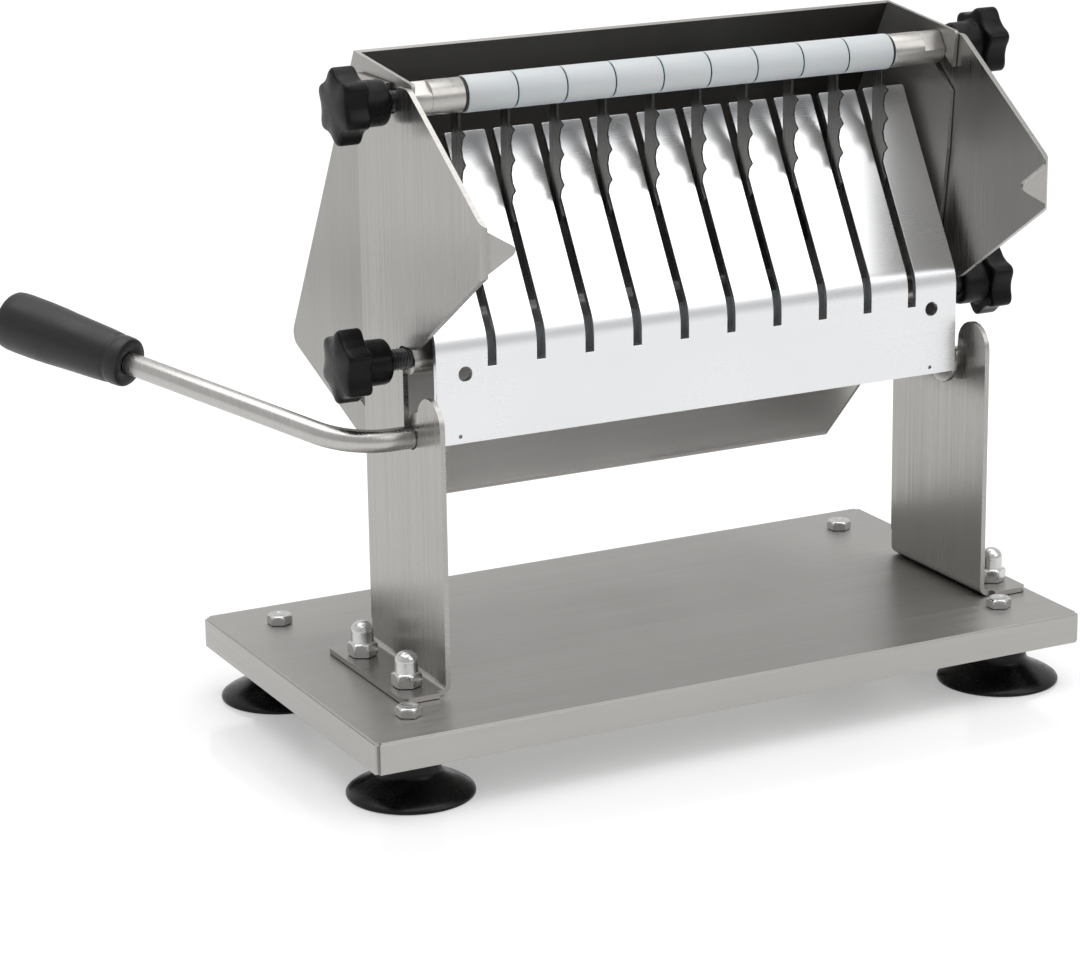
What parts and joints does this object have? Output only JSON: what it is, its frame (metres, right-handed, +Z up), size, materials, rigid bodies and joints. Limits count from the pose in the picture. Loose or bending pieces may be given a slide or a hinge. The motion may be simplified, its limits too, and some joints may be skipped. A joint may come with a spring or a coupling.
{
  "type": "hand lever sausage slicer",
  "caption": "Tabletop slicer: a hand lever swings a slotted pusher plate through a row of scalloped blades on a steel stand with suction feet and a rear catcher.",
  "frame": {"origin": "middle of the whole object's footprint (lever included), on the surface the suction feet stand on", "axes": "+X along the base's long side, away from the lever; +Y from the loading side towards the catcher at the back; +Z up"},
  "size_m": [0.3722, 0.2016, 0.257],
  "materials": {
    "brushed_steel": "brushed stainless sheet",
    "polished_steel": "bright polished stainless sheet",
    "blade_steel": "ground stainless blade",
    "fastener_steel": "turned stainless steel",
    "white_nylon": "natural translucent nylon",
    "black_plastic": "satin moulded plastic",
    "black_rubber": "smooth rubber"
  },
  "bodies": {
    "stand": {"base_plate": "brushed_steel", "left_upright": "brushed_steel", "right_upright": "brushed_steel", "catcher": "brushed_steel", "suction_foot_front_left": "black_rubber", "foot_bolt_front_left": "fastener_steel", "acorn_nut_front_left": "fastener_steel", "suction_foot_rear_left": "black_rubber", "foot_bolt_rear_left": "fastener_steel", "acorn_nut_rear_left": "fastener_steel", "suction_foot_front_right": "black_rubber", "foot_bolt_front_right": "fastener_steel", "acorn_nut_front_right": "fastener_steel", "suction_foot_rear_right": "black_rubber", "foot_bolt_rear_right": "fastener_steel", "acorn_nut_rear_right": "fastener_steel", "blade_01": "blade_steel", "blade_02": "blade_steel", "blade_03": "blade_steel", "blade_04": "blade_steel", "blade_05": "blade_steel", "blade_06": "blade_steel", "blade_07": "blade_steel", "blade_08": "blade_steel", "blade_09": "blade_steel", "blade_10": "blade_steel", "upper_spacer_1": "white_nylon", "upper_spacer_2": "white_nylon", "upper_spacer_3": "white_nylon", "upper_spacer_4": "white_nylon", "upper_spacer_5": "white_nylon", "upper_spacer_6": "white_nylon", "upper_spacer_7": "white_nylon", "upper_spacer_8": "white_nylon", "upper_spacer_9": "white_nylon", "upper_rod": "fastener_steel", "upper_sleeve_nut": "fastener_steel", "lower_spacer_1": "white_nylon", "lower_spacer_2": "white_nylon", "lower_spacer_3": "white_nylon", "lower_spacer_4": "white_nylon", "lower_spacer_5": "white_nylon", "lower_spacer_6": "white_nylon", "lower_spacer_7": "white_nylon", "lower_spacer_8": "white_nylon", "lower_spacer_9": "white_nylon", "lower_rod": "fastener_steel", "lower_sleeve_nut": "fastener_steel"},
    "pusher": {"pusher_plate": "polished_steel", "pusher_bracket_left": "brushed_steel", "pusher_bracket_right": "brushed_steel", "lever_rod": "fastener_steel", "lever_arm": "fastener_steel", "lever_grip": "black_plastic"},
    "knob_upper_left": {"star_knob_upper_left": "black_plastic"},
    "knob_lower_left": {"star_knob_lower_left": "black_plastic"},
    "knob_upper_right": {"star_knob_upper_right": "black_plastic"},
    "knob_lower_right": {"star_knob_lower_right": "black_plastic"}
  },
  "joints": [
    {"name": "pusher_hinge", "type": "hinge", "parent": "stand", "child": "pusher", "pos_m": [0.0451, -0.03853, 0.1214], "axis": [1, 0, 0], "range_deg": [-15, 49]},
    {"name": "upper_left_knob_turn", "type": "hinge", "parent": "stand", "child": "knob_upper_left", "pos_m": [-0.0861, -0.02833, 0.2431], "axis": [1, 0, 0], "continuous": true},
    {"name": "lower_left_knob_turn", "type": "hinge", "parent": "stand", "child": "knob_lower_left", "pos_m": [-0.0891, -0.03273, 0.1495], "axis": [1, 0, 0], "continuous": true},
    {"name": "upper_right_knob_turn", "type": "hinge", "parent": "stand", "child": "knob_upper_right", "pos_m": [0.1739, -0.02833, 0.2431], "axis": [1, 0, 0], "continuous": true},
    {"name": "lower_right_knob_turn", "type": "hinge", "parent": "stand", "child": "knob_lower_right", "pos_m": [0.1759, -0.03273, 0.1495], "axis": [1, 0, 0], "continuous": true}
  ]
}
